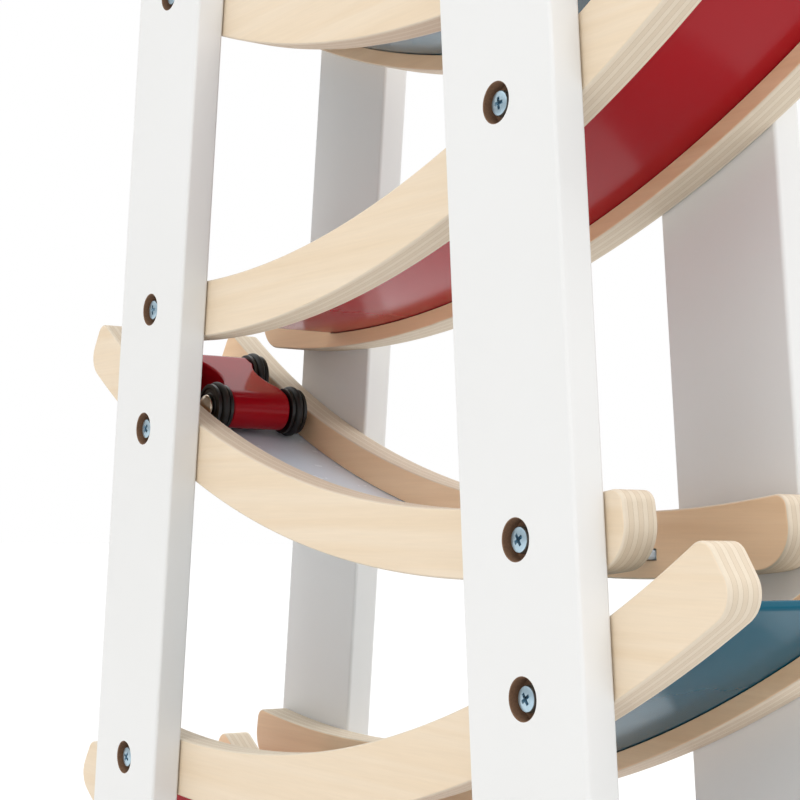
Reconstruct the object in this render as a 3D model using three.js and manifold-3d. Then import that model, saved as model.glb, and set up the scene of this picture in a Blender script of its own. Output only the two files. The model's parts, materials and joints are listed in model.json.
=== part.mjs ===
// A wooden toy-car ramp tower. Five curved ramps zig-zag between four leaning board legs.
// Each ramp is two plywood side rails with a thin lacquered floor sheet held in their grooves.
// A small car with O-ring tyres stands on the third ramp.
// Millimetres, +Z up. The origin is on the ground, in the middle of the tower.
import * as THREE from 'three';
import { mergeVertices } from 'three/addons/utils/BufferGeometryUtils.js';
import Module from 'manifold-3d';

const wasm = await Module();
wasm.setup();

// ---- driving dimensions ------------------------------------------------------------------

const fit = 0.3;                 // gap between pieces that meet

const legWidth = 50;             // along X
const legThickness = 10.5;       // along Y
const legLean = THREE.MathUtils.degToRad(4.84);
const legSpread = 131.9;         // from the middle of the tower to a leg's middle, at the ground
const legTopMargin = 60;         // above the highest screw
const legEdge = 1.2;             // rounded edge

const rampCount = 5;
const rampGap = 8.3;             // from a ramp's exit end down to the edge of the ramp below
const rampClearance = 22;        // from the ground to the lowest edge of the first ramp
const rampInset = 55.5;          // from a leg's middle, at the ground, in to a ramp's lowest point

const channelWidth = 47;         // between the two rails
const railThickness = 11.5;
const railHeight = 20.3;
const railRadius = 447.7;        // of the rail's upper edge
const railEntryOverhang = 62.6;  // past the screw, where the legs are furthest apart
const railExitOverhang = 17.1;
const railCorner = { entryTop: 5, entryBottom: 8, exitBottom: 12, exitTop: 4 };

const floorThickness = 3;
const floorDepth = 11.5;         // from the rail's upper edge down to the floor
const floorTongue = 2.7;         // how far the floor goes into each rail
const floorEntryInset = 12;      // from the rail's entry end to the floor's
const floorExitLength = 15.5;    // past the lowest point: the car drops through the rest
const runOutInset = 6;           // the lowest ramp's floor reaches nearly to the rail's exit end

const barShoulder = 6;           // the cross bars that join the legs are this much in from each edge
const barThickness = 12;
const barInset = 6;              // from the ground, and from the top of the legs
const barTenon = 4;

const screwHeadDiameter = 7.4;
const screwHeadHeight = 3;
const screwDiameter = 4;
const screwWall = 1.4;           // plywood left between a screw's hole and the floor's groove
const counterboreDiameter = 11.5;
const counterboreDepth = 4.2;

const wheelbase = 34;
const tyreDiameter = 19.4;
const tyreSection = 3.2;         // of the O-ring
const hubWidth = 6.5;
const tyreStand = 1;             // how far the tyre stands out of its hub
const carSideGap = 1.15;         // from an axle cap to the rail
const bodyHeight = 15.3;
const bodyWaist = 3.2;             // how far the sides are cut in between the axles
const bodyWaistLength = 24;
const wheelSideGap = 0.5;        // between the body and a wheel
const axleDiameter = 3;
const capDiameter = 9.4;
const capHeight = 2.8;
const capBore = 1.7;             // how deep the axle goes into its cap
const carLevel = 2;              // the ramp that it stands on
const carStart = 45.1;          // along the ramp, from the floor's entry end to the car's middle

// ---- sizes that follow from them ----------------------------------------------------------

const leanRatio = Math.tan(legLean);
const rampOffset = legSpread - rampInset;
const barWidth = legWidth - 2 * barShoulder;
const rampWidth = channelWidth + 2 * railThickness;
const legInnerY = rampWidth / 2 + fit;
const legMiddleY = legInnerY + legThickness / 2;
const legOuterY = legInnerY + legThickness;
const webThickness = legThickness - counterboreDepth;
const screwRadius = screwDiameter / 2;
const grooveDepth = floorTongue + fit;
const pilotDepth = railThickness - grooveDepth - screwWall;
const screwLength = webThickness + pilotDepth;
const hubFlangeDiameter = tyreDiameter - 2 * tyreStand;
const bodyWidth = channelWidth - 2 * (carSideGap + capHeight + fit + hubWidth + wheelSideGap);

const curveSegments = 17;         // along the whole of a rail or a floor

const colours = {
  whiteLacquer: { color: 0xefefef, roughness: 0.45, metalness: 0 },
  plywood: { color: 0xe8d6b4, roughness: 0.65, metalness: 0 },
  redLacquer: { color: 0x8e1a26, roughness: 0.2, metalness: 0 },
  paleLacquer: { color: 0xc3cad6, roughness: 0.25, metalness: 0 },
  tealLacquer: { color: 0x1f5c6b, roughness: 0.2, metalness: 0 },
  carLacquer: { color: 0x7d0f1e, roughness: 0.12, metalness: 0 },
  zinc: { color: 0xb8c6cc, roughness: 0.3, metalness: 1 },
  steel: { color: 0xb3aca4, roughness: 0.25, metalness: 1 },
  blackPlastic: { color: 0x1a1817, roughness: 0.45, metalness: 0 },
  blackRubber: { color: 0x151413, roughness: 0.7, metalness: 0 },
};
const materials = Object.fromEntries(
  Object.entries(colours).map(([name, look]) => [name, new THREE.MeshStandardMaterial(look)]));
const floorFinish = ['redLacquer', 'tealLacquer', 'paleLacquer'];   // from the lowest ramp up

// ---- solids and booleans ------------------------------------------------------------------

function toSolid(geometry) {
  const bare = geometry.clone();
  bare.deleteAttribute('normal');
  bare.deleteAttribute('uv');
  const merged = mergeVertices(bare, 1e-4);
  return new wasm.Manifold(new wasm.Mesh({
    numProp: 3,
    vertProperties: new Float32Array(merged.attributes.position.array),
    triVerts: new Uint32Array(merged.index.array),
  }));
}

function toGeometry(solid) {
  const mesh = solid.getMesh();
  const geometry = new THREE.BufferGeometry();
  geometry.setAttribute('position', new THREE.BufferAttribute(mesh.vertProperties, 3));
  geometry.setIndex(new THREE.BufferAttribute(mesh.triVerts, 1));
  geometry.computeVertexNormals();
  return geometry;
}

function cut(geometry, tools) {
  const result = tools.reduce((solid, tool) => solid.subtract(toSolid(tool)), toSolid(geometry));
  return toGeometry(result);
}

function piece(name, geometry, material) {
  const mesh = new THREE.Mesh(geometry, material);
  mesh.name = name;
  return mesh;
}

// A board whose outline lies in XZ, with its thickness centred on Y = 0.
function board(outline, thickness, edge = 0) {
  const geometry = new THREE.ExtrudeGeometry(new THREE.Shape(outline), {
    depth: thickness - 2 * edge,
    bevelEnabled: edge > 0,
    bevelThickness: edge,
    bevelSize: edge,
    bevelOffset: -edge,
    bevelSegments: 2,
    steps: 1,
  });
  return geometry.rotateX(Math.PI / 2).translate(0, thickness / 2 - edge, 0);
}

// A round tool or rod along Y, from y = low to y = high.
function rod(diameter, x, z, low, high, segments = 12) {
  const geometry = new THREE.CylinderGeometry(diameter / 2, diameter / 2, high - low, segments);
  return geometry.translate(x, (low + high) / 2, z);
}

function block(width, depth, height, x, y, z) {
  return new THREE.BoxGeometry(width, depth, height).translate(x, y, z);
}

// A solid turned about Y. The profile's points are [radius, y].
function turned(profile, segments) {
  return new THREE.LatheGeometry(profile.map(([r, y]) => new THREE.Vector2(r, y)), segments);
}

// ---- the ramp's curve ---------------------------------------------------------------------

// A point `along` the rail's upper edge and `down` from it, seen from the curve's centre.
function onCurve(along, down) {
  const angle = along / railRadius;
  const radius = railRadius + down;
  return new THREE.Vector2(radius * Math.sin(angle), -radius * Math.cos(angle));
}

// A curved strip between two places along the edge and two depths below it, with round corners.
function strip(from, to, top, bottom, corners = {}) {
  const { entryTop = 0, entryBottom = 0, exitBottom = 0, exitTop = 0 } = corners;
  const flat = [];
  const run = (start, end, down) => {
    for (let i = 0; i <= curveSegments; i++) {
      flat.push([start + (end - start) * i / curveSegments, down]);
    }
  };
  const corner = (along, down, radius, startAngle) => {
    for (let i = 1; radius > 0 && i < 4; i++) {
      const angle = startAngle + Math.PI / 2 * i / 4;
      flat.push([along + radius * Math.cos(angle), down + radius * Math.sin(angle)]);
    }
  };
  run(from + entryTop, to - exitTop, top);
  corner(to - exitTop, top + exitTop, exitTop, -Math.PI / 2);
  flat.push([to, top + Math.max(exitTop, 0.01)], [to, bottom - Math.max(exitBottom, 0.01)]);
  corner(to - exitBottom, bottom - exitBottom, exitBottom, 0);
  run(to - exitBottom, from + entryBottom, bottom);
  corner(from + entryBottom, bottom - entryBottom, entryBottom, Math.PI / 2);
  flat.push([from, bottom - Math.max(entryBottom, 0.01)], [from, top + Math.max(entryTop, 0.01)]);
  corner(from + entryTop, top + entryTop, entryTop, Math.PI);
  return flat.map(([along, down]) => onCurve(along, down));
}

const mirrored = (outline, side) => outline.map((p) => new THREE.Vector2(side * p.x, p.y));

// ---- where the ramps cross the legs -------------------------------------------------------

// The middle of the rail's height meets the middle of the leg's width on side +1 or -1.
function crossing(centreX, centreZ, side) {
  const middle = railRadius + railHeight / 2;
  const reach = legSpread - centreZ * leanRatio - side * centreX;
  const slope = 1 + leanRatio ** 2;
  const root = (reach * leanRatio) ** 2 - slope * (reach ** 2 - middle ** 2);
  const z = (reach * leanRatio - Math.sqrt(root)) / slope;
  return { x: centreX + side * (reach - z * leanRatio), z: centreZ + z };
}

// The lowest ramp sets the rails' length, because the legs are furthest apart there.
const lowestCentreZ = rampClearance + railHeight + railRadius;
const screwAlong = (side) => {
  const { x, z } = crossing(rampOffset, lowestCentreZ, side);
  return railRadius * Math.atan2(Math.abs(x - rampOffset), lowestCentreZ - z);
};
const railEntryLength = screwAlong(-1) + railEntryOverhang;
const railExitLength = screwAlong(1) + railExitOverhang;
const floorFrom = floorEntryInset - railEntryLength;
const floorTo = (ramp) => (ramp.level === 0 ? railExitLength - runOutInset : floorExitLength);
const carAngle = (floorFrom + carStart) / railRadius;   // from the curve's lowest point

// The height from one ramp to the next leaves the gap at the upper one's exit end.
const exitCorner = onCurve(railExitLength, railHeight);
const edgeBelow = -Math.sqrt(railRadius ** 2 - (exitCorner.x + 2 * rampOffset) ** 2);
const rampPitch = rampGap + edgeBelow - exitCorner.y;

const ramps = Array.from({ length: rampCount }, (_, level) => {
  const exitSide = level % 2 === 0 ? 1 : -1;
  const centreX = exitSide * rampOffset;
  const centreZ = lowestCentreZ + level * rampPitch;
  const crossings = {
    left: crossing(centreX, centreZ, -1),
    right: crossing(centreX, centreZ, 1),
  };
  return { level, exitSide, centreX, centreZ, crossings };
});
const screwHeights = ramps.flatMap(({ crossings }) => [crossings.left.z, crossings.right.z]);
const legHeight = Math.max(...screwHeights) + legTopMargin;

const sides = { left: -1, right: 1 };
const faces = { front: -1, back: 1 };
const legX = (side, z) => side * (legSpread - z * leanRatio);

// ---- cross bars ---------------------------------------------------------------------------

const bars = Object.entries(sides).flatMap(([sideName, side]) => [
  { name: `foot_bar_${sideName}`, side, z: barInset + barThickness / 2 },
  { name: `top_bar_${sideName}`, side, z: legHeight - barInset - barThickness / 2 },
]);
const barLength = 2 * (legInnerY + barTenon - fit);

function crossBar({ name, side, z }) {
  const bar = piece(name, new THREE.BoxGeometry(barWidth, barLength, barThickness),
    materials.whiteLacquer);
  bar.position.set(legX(side, z), 0, z);
  return bar;
}

// ---- legs ---------------------------------------------------------------------------------

function leg(faceName, sideName) {
  const face = faces[faceName];
  const side = sides[sideName];
  const half = legWidth / 2;
  const outline = [[-half, 0], [half, 0], [half, legHeight], [-half, legHeight]]
    .map(([x, z]) => new THREE.Vector2(legX(side, z) + x, z));
  const span = (from, to) => [Math.min(face * from, face * to), Math.max(face * from, face * to)];
  const outer = legThickness / 2;
  const tools = ramps.flatMap(({ crossings }) => {
    const { x, z } = crossings[sideName];
    return [
      rod(counterboreDiameter, x, z, ...span(outer - counterboreDepth, outer + 1), 20),
      rod(screwDiameter + 2 * fit, x, z, ...span(-outer - 1, outer)),
    ];
  });
  const mortise = barTenon + 1;
  for (const bar of bars.filter((one) => one.side === side)) {
    tools.push(block(barWidth + 2 * fit, mortise, barThickness + 2 * fit,
      legX(side, bar.z), face * (-outer + barTenon - mortise / 2), bar.z));
  }
  const mesh = piece(`leg_${faceName}_${sideName}`,
    cut(board(outline, legThickness, legEdge), tools), materials.whiteLacquer);
  mesh.position.y = face * legMiddleY;
  return mesh;
}

// ---- ramps --------------------------------------------------------------------------------

function rail(ramp, faceName) {
  const face = faces[faceName];
  const outline = strip(-railEntryLength, railExitLength, 0, railHeight, railCorner);
  const groove = strip(floorFrom - 2 * fit, floorTo(ramp) + 2 * fit,
    floorDepth - fit, floorDepth + floorThickness + fit);
  const grooveTool = board(mirrored(groove, ramp.exitSide), 2 * grooveDepth)
    .translate(0, -face * railThickness / 2, 0);
  const outer = face * railThickness / 2;
  const pilots = Object.values(ramp.crossings).map(({ x, z }) => {
    const ends = [outer + face, outer - face * pilotDepth].sort((a, b) => a - b);
    return rod(screwDiameter + 2 * fit, x - ramp.centreX, z - ramp.centreZ, ...ends);
  });
  const mesh = piece(`ramp_${ramp.level + 1}_rail_${faceName}`,
    cut(board(mirrored(outline, ramp.exitSide), railThickness), [grooveTool, ...pilots]),
    materials.plywood);
  mesh.position.y = face * (channelWidth + railThickness) / 2;
  return mesh;
}

function floor(ramp) {
  const outline = strip(floorFrom, floorTo(ramp), floorDepth, floorDepth + floorThickness);
  const finish = floorFinish[ramp.level % floorFinish.length];
  return piece(`ramp_${ramp.level + 1}_floor`,
    board(mirrored(outline, ramp.exitSide), channelWidth + 2 * floorTongue), materials[finish]);
}

// ---- screws -------------------------------------------------------------------------------

// A pan-head wood screw with its head at +Y. The head's underside is at y = 0.
function screwGeometry() {
  const head = screwHeadDiameter / 2;
  const point = 2.5;
  return turned([
    [0, -screwLength],
    [screwRadius, point - screwLength],
    [screwRadius, 0],
    [head, 0],
    [head, 0.5 * screwHeadHeight],
    [0.6 * head, screwHeadHeight],
    [0, screwHeadHeight],
  ], 11);
}

function screw(ramp, faceName, sideName) {
  const face = faces[faceName];
  const { x, z } = ramp.crossings[sideName];
  const mesh = piece(`ramp_${ramp.level + 1}_screw_${faceName}_${sideName}`,
    screwGeometry(), materials.zinc);
  mesh.rotation.x = face > 0 ? 0 : Math.PI;
  mesh.position.set(x, face * (legOuterY - counterboreDepth + fit), z);
  return mesh;
}

// ---- the car ------------------------------------------------------------------------------

const hubInnerY = bodyWidth / 2 + wheelSideGap;
const hubOuterY = hubInnerY + hubWidth;
const axleHalf = hubOuterY + capBore;

// Rounded at both ends about the axles, cut in at both sides, bored for the axles.
function carBody() {
  const half = wheelbase / 2;
  const radius = bodyHeight / 2;
  const outline = [];
  for (const [end, start] of [[1, -Math.PI / 2], [-1, Math.PI / 2]]) {
    for (let i = 0; i <= 12; i++) {
      const angle = start + Math.PI * i / 12;
      outline.push(new THREE.Vector2(end * half + radius * Math.cos(angle), radius * Math.sin(angle)));
    }
  }
  const waistRadius = ((bodyWaistLength / 2) ** 2 + bodyWaist ** 2) / (2 * bodyWaist);
  const waistY = bodyWidth / 2 - bodyWaist + waistRadius;
  const waists = [-1, 1].map((face) => new THREE.CylinderGeometry(waistRadius, waistRadius,
    2 * bodyHeight, 36).rotateX(Math.PI / 2).translate(0, face * waistY, 0));
  const bores = [-half, half].map((x) => rod(axleDiameter + 2 * fit, x, 0, -bodyWidth, bodyWidth));
  return piece('car_body', cut(board(outline, bodyWidth), [...waists, ...bores]),
    materials.carLacquer);
}

// The wheel is a spool: two flanges with the O-ring in the groove between them. Inner face at y = 0.
function wheelHub(name) {
  const bore = axleDiameter / 2 + fit;
  const flange = hubFlangeDiameter / 2;
  const seat = tyreDiameter / 2 - tyreSection - fit;
  const lip = (hubWidth - tyreSection) / 2 - fit;
  return piece(name, turned([
    [bore, 0], [flange, 0], [flange, lip], [seat, lip], [seat, hubWidth - lip],
    [flange, hubWidth - lip], [flange, hubWidth], [bore, hubWidth], [bore, 0],
  ], 20), materials.blackPlastic);
}

function tyre(name) {
  const section = tyreSection / 2;
  const geometry = new THREE.TorusGeometry(tyreDiameter / 2 - section, section, 8, 24);
  return piece(name, geometry.rotateX(Math.PI / 2), materials.blackRubber);
}

// A domed cap with its open side at y = 0.
function axleCap(name) {
  const bore = axleDiameter / 2 + fit;
  const radius = capDiameter / 2;
  const profile = [[0, capBore], [bore, capBore], [bore, 0], [radius, 0]];
  for (let i = 1; i <= 4; i++) {
    const angle = Math.PI / 2 * i / 4;
    profile.push([radius * Math.cos(angle), capHeight * Math.sin(angle)]);
  }
  profile.at(-1)[0] = 0;
  return piece(name, turned(profile, 16), materials.steel);
}

function wheelset(endName, x) {
  const group = new THREE.Group();
  group.position.x = x;
  group.add(piece(`car_${endName}_axle`,
    rod(axleDiameter, 0, 0, -axleHalf, axleHalf), materials.steel));
  for (const [faceName, face] of Object.entries({ near: -1, far: 1 })) {
    const wheel = new THREE.Group();
    wheel.rotation.x = face > 0 ? 0 : Math.PI;
    const hub = wheelHub(`car_${endName}_hub_${faceName}`);
    hub.position.y = hubInnerY;
    const ring = tyre(`car_${endName}_tyre_${faceName}`);
    ring.position.y = hubInnerY + hubWidth / 2;
    const cap = axleCap(`car_${endName}_cap_${faceName}`);
    cap.position.y = hubOuterY + fit;
    wheel.add(hub, ring, cap);
    group.add(wheel);
  }
  return group;
}

function car() {
  const ramp = ramps[carLevel];
  const axleRadius = railRadius + floorDepth - tyreDiameter / 2 - fit;
  const bodyRadius = Math.sqrt(axleRadius ** 2 - (wheelbase / 2) ** 2);
  const group = new THREE.Group();
  group.add(carBody(), wheelset('front', wheelbase / 2), wheelset('rear', -wheelbase / 2));
  const angle = ramp.exitSide * carAngle;
  group.position.set(ramp.centreX + bodyRadius * Math.sin(angle), 0,
    ramp.centreZ - bodyRadius * Math.cos(angle));
  group.rotation.y = -angle;
  return group;
}

// ---- the tower ----------------------------------------------------------------------------

const tower = new THREE.Group();
for (const faceName of Object.keys(faces)) {
  for (const sideName of Object.keys(sides)) {
    tower.add(leg(faceName, sideName));
    tower.add(...ramps.map((ramp) => screw(ramp, faceName, sideName)));
  }
}
tower.add(...bars.map(crossBar));
for (const ramp of ramps) {
  const group = new THREE.Group();
  group.position.set(ramp.centreX, 0, ramp.centreZ);
  group.add(floor(ramp), ...Object.keys(faces).map((faceName) => rail(ramp, faceName)));
  tower.add(group);
}
tower.add(car());

export default tower;
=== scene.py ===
"""A wooden toy-car ramp tower: its looks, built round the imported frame."""

import json
import math

import bmesh
import bpy
import numpy as np
from mathutils import Matrix, Vector


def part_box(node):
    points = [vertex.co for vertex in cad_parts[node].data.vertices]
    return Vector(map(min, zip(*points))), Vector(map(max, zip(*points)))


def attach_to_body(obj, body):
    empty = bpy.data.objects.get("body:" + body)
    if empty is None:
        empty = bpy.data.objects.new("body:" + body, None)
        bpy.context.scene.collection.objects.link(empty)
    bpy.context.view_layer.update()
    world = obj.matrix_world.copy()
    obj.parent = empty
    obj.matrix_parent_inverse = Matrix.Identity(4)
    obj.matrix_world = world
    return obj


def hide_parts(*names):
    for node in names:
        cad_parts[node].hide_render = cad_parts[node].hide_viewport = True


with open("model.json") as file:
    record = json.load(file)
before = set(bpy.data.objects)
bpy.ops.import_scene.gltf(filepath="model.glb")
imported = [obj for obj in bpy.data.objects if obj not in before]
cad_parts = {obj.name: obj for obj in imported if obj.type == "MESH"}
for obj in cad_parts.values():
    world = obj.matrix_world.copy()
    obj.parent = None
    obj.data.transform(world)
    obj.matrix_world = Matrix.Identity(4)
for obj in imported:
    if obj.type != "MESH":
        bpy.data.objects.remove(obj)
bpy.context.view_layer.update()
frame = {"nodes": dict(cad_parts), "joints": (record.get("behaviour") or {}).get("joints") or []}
JOINTS = {joint["name"]: joint for joint in frame["joints"]}
MM = 0.001

# ---- camera -------------------------------------------------------------------------------

CAMERA_PLACE = Vector((0.4906, -0.3338, 0.2022))
CAMERA_YAW = 0.9819          # radians, from +Y towards -X
CAMERA_PITCH = 0.0734        # radians, upwards
CAMERA_ROLL = 0.0114
CAMERA_LENS = 80.34          # on a 36 mm sensor


def add_camera():
    forward = Vector((
        -math.sin(CAMERA_YAW) * math.cos(CAMERA_PITCH),
        math.cos(CAMERA_YAW) * math.cos(CAMERA_PITCH),
        math.sin(CAMERA_PITCH),
    ))
    level = Vector((math.cos(CAMERA_YAW), math.sin(CAMERA_YAW), 0))
    upright = level.cross(forward)
    right = math.cos(CAMERA_ROLL) * level + math.sin(CAMERA_ROLL) * upright
    up = math.cos(CAMERA_ROLL) * upright - math.sin(CAMERA_ROLL) * level
    camera = bpy.data.objects.new("camera", bpy.data.cameras.new("camera"))
    camera.data.lens = CAMERA_LENS
    camera.data.clip_start = 0.01
    turn = Matrix((right, up, -forward)).transposed().to_4x4()
    camera.matrix_world = Matrix.Translation(CAMERA_PLACE) @ turn
    bpy.context.scene.collection.objects.link(camera)
    bpy.context.scene.camera = camera


add_camera()

# ---- sizes that the frame's boxes don't give ------------------------------------------------

FIT = 0.3 * MM                        # gap between pieces that meet
LEG_WIDTH = 50 * MM
LEG_ARRIS = 1.2 * MM                  # rounded edge
BAR_ARRIS = 1.0 * MM
RAIL_ARRIS = 0.8 * MM
RAIL_CORNERS = [corner * MM for corner in (5, 8, 12, 4)]   # entry top and bottom, exit bottom, top
FLOOR_ARRIS = 0.5 * MM
FLOOR_TONGUE = 2.7 * MM               # how far a floor goes into each rail
PILOT_DEPTH = 7.1 * MM
HOLE_DIAMETER = 4.6 * MM              # for the screws' shanks
COUNTERBORE_DIAMETER = 11.5 * MM
COUNTERBORE_DEPTH = 4.2 * MM
HEAD_DIAMETER = 7.4 * MM
HEAD_HEIGHT = 3.0 * MM
SHANK_DIAMETER = 4.0 * MM
BODY_WIDTH = 24.5 * MM
BODY_HEIGHT = 15.3 * MM
BODY_WAIST = 3.2 * MM
BODY_WAIST_LENGTH = 24.0 * MM
BODY_ARRIS = 0.9 * MM
AXLE_DIAMETER = 3.0 * MM
TYRE_DIAMETER = 19.4 * MM
TYRE_SECTION = 3.2 * MM
FLANGE_DIAMETER = 17.4 * MM
CAP_DIAMETER = 9.4 * MM
CAP_BORE = 1.7 * MM

# ---- small helpers --------------------------------------------------------------------------


def linear(hex_colour):
    """An sRGB hex colour as linear red, green, blue and alpha."""
    channels = [int(hex_colour[i:i + 2], 16) / 255 for i in (1, 3, 5)]
    return (*[c / 12.92 if c <= 0.04045 else ((c + 0.055) / 1.055) ** 2.4 for c in channels], 1)


def add_node(tree, kind, settings=None, inputs=None):
    """A node with its settings, and its inputs by name or number: each a value or a socket."""
    node = tree.nodes.new(kind)
    for name, value in (settings or {}).items():
        setattr(node, name, value)
    for key, value in (inputs or {}).items():
        if isinstance(value, bpy.types.NodeSocket):
            tree.links.new(value, node.inputs[key])
        else:
            node.inputs[key].default_value = value
    return node


def new_piece(name, mesh):
    piece = bpy.data.objects.new(name, mesh)
    bpy.context.scene.collection.objects.link(piece)
    return piece


def mesh_of(name, points, faces):
    mesh = bpy.data.meshes.new(name)
    mesh.from_pydata([tuple(p) for p in points], [], faces)
    mesh.update()
    return mesh


MERGE_DISTANCE = 1e-6


def merged(mesh):
    """Closes seams and poles."""
    shape = bmesh.new()
    shape.from_mesh(mesh)
    bmesh.ops.remove_doubles(shape, verts=shape.verts, dist=MERGE_DISTANCE)
    bmesh.ops.dissolve_degenerate(shape, edges=shape.edges, dist=MERGE_DISTANCE)
    bmesh.ops.recalc_face_normals(shape, faces=shape.faces)
    shape.to_mesh(mesh)
    shape.free()
    return mesh


def plain_mesh(piece):
    """Turns a piece's modifiers into a plain mesh."""
    graph = bpy.context.evaluated_depsgraph_get()
    mesh = bpy.data.meshes.new_from_object(
        piece.evaluated_get(graph), preserve_all_data_layers=True, depsgraph=graph)
    piece.modifiers.clear()
    old, piece.data = piece.data, mesh
    mesh.name = piece.name
    bpy.data.meshes.remove(old)
    return mesh


def settle(piece, crease=math.radians(35)):
    """Makes a piece a plain mesh with smooth curves and true flats."""
    mesh = plain_mesh(piece)
    mesh.polygons.foreach_set("use_smooth", [True] * len(mesh.polygons))
    mesh.set_sharp_from_angle(angle=crease)


def level_flats(piece):
    """Keeps the shading of the large flat faces flat beside their rounded edges."""
    weighted = piece.modifiers.new("flats", "WEIGHTED_NORMAL")
    weighted.mode = "FACE_AREA"
    weighted.weight = 100
    weighted.keep_sharp = True
    plain_mesh(piece)


def attach(piece, body, slot, *nodes):
    """Rides on its body and stands for its CAD nodes; its slot is not used."""
    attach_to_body(piece, body)
    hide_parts(*nodes)


# ---- materials ------------------------------------------------------------------------------


def new_material(name):
    material = bpy.data.materials.new(name)
    material.use_nodes = True
    tree = material.node_tree
    return material, tree, tree.nodes["Principled BSDF"]


def lacquered(name, colour, shade, roughness, peel):
    """Sprayed lacquer on smooth board. It is even, with the faint waves of sprayed paint, called
    orange peel, that bend its reflections, and a few slow drifts of tone."""
    material, tree, shader = new_material(name)
    shader.inputs["IOR"].default_value = 1.23    # below lacquer's usual 1.5, for fainter gloss
    place = add_node(tree, "ShaderNodeTexCoord").outputs["Object"]
    drift = add_node(tree, "ShaderNodeTexNoise", inputs={
        "Vector": place, "Scale": 1 / (60 * MM), "Detail": 3.0, "Roughness": 0.55})
    tone = add_node(tree, "ShaderNodeMix", {"data_type": "RGBA"}, {
        0: drift.outputs["Fac"], 6: linear(colour), 7: linear(shade)})
    tree.links.new(tone.outputs[2], shader.inputs["Base Color"])
    smear = add_node(tree, "ShaderNodeTexNoise", inputs={
        "Vector": place, "Scale": 1 / (9 * MM), "Detail": 4.0})
    polish = add_node(tree, "ShaderNodeMapRange", inputs={
        "Value": smear.outputs["Fac"], 3: roughness * 0.8, 4: roughness * 1.25})
    tree.links.new(polish.outputs[0], shader.inputs["Roughness"])
    waves = add_node(tree, "ShaderNodeTexNoise", inputs={
        "Vector": place, "Scale": 1 / (2.2 * MM), "Detail": 1.0})
    bump = add_node(tree, "ShaderNodeBump", inputs={
        "Strength": peel, "Distance": 0.04 * MM, "Height": waves.outputs["Fac"]})
    tree.links.new(bump.outputs[0], shader.inputs["Normal"])
    return material


def white_lacquer():
    """Satin white lacquer over solid wood. The grain just shows through as long fine ridges."""
    material, tree, shader = new_material("white_lacquer_on_wood")
    shader.inputs["IOR"].default_value = 1.5
    place = add_node(tree, "ShaderNodeTexCoord").outputs["Object"]
    drift = add_node(tree, "ShaderNodeTexNoise", inputs={
        "Vector": place, "Scale": 1 / (70 * MM), "Detail": 2.0})
    tone = add_node(tree, "ShaderNodeMix", {"data_type": "RGBA"}, {
        0: drift.outputs["Fac"], 6: linear("#E1E1E0"), 7: linear("#DCDCDA")})
    tree.links.new(tone.outputs[2], shader.inputs["Base Color"])
    stretched = add_node(tree, "ShaderNodeMapping", inputs={
        "Vector": place, "Scale": (1, 1, 0.03)})
    grain = add_node(tree, "ShaderNodeTexNoise", inputs={
        "Vector": stretched.outputs[0], "Scale": 1 / (1.1 * MM), "Detail": 3.0})
    peel = add_node(tree, "ShaderNodeTexNoise", inputs={
        "Vector": place, "Scale": 1 / (1.6 * MM), "Detail": 1.0})
    surface = add_node(tree, "ShaderNodeMath", {"operation": "ADD"}, {
        0: grain.outputs["Fac"], 1: peel.outputs["Fac"]})
    bump = add_node(tree, "ShaderNodeBump", inputs={
        "Strength": 0.25, "Distance": 0.04 * MM, "Height": surface.outputs[0]})
    tree.links.new(bump.outputs[0], shader.inputs["Normal"])
    polish = add_node(tree, "ShaderNodeMapRange", inputs={
        "Value": drift.outputs["Fac"], 3: 0.38, 4: 0.5})
    tree.links.new(polish.outputs[0], shader.inputs["Roughness"])
    return material


PLY_COUNT = 7


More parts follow.
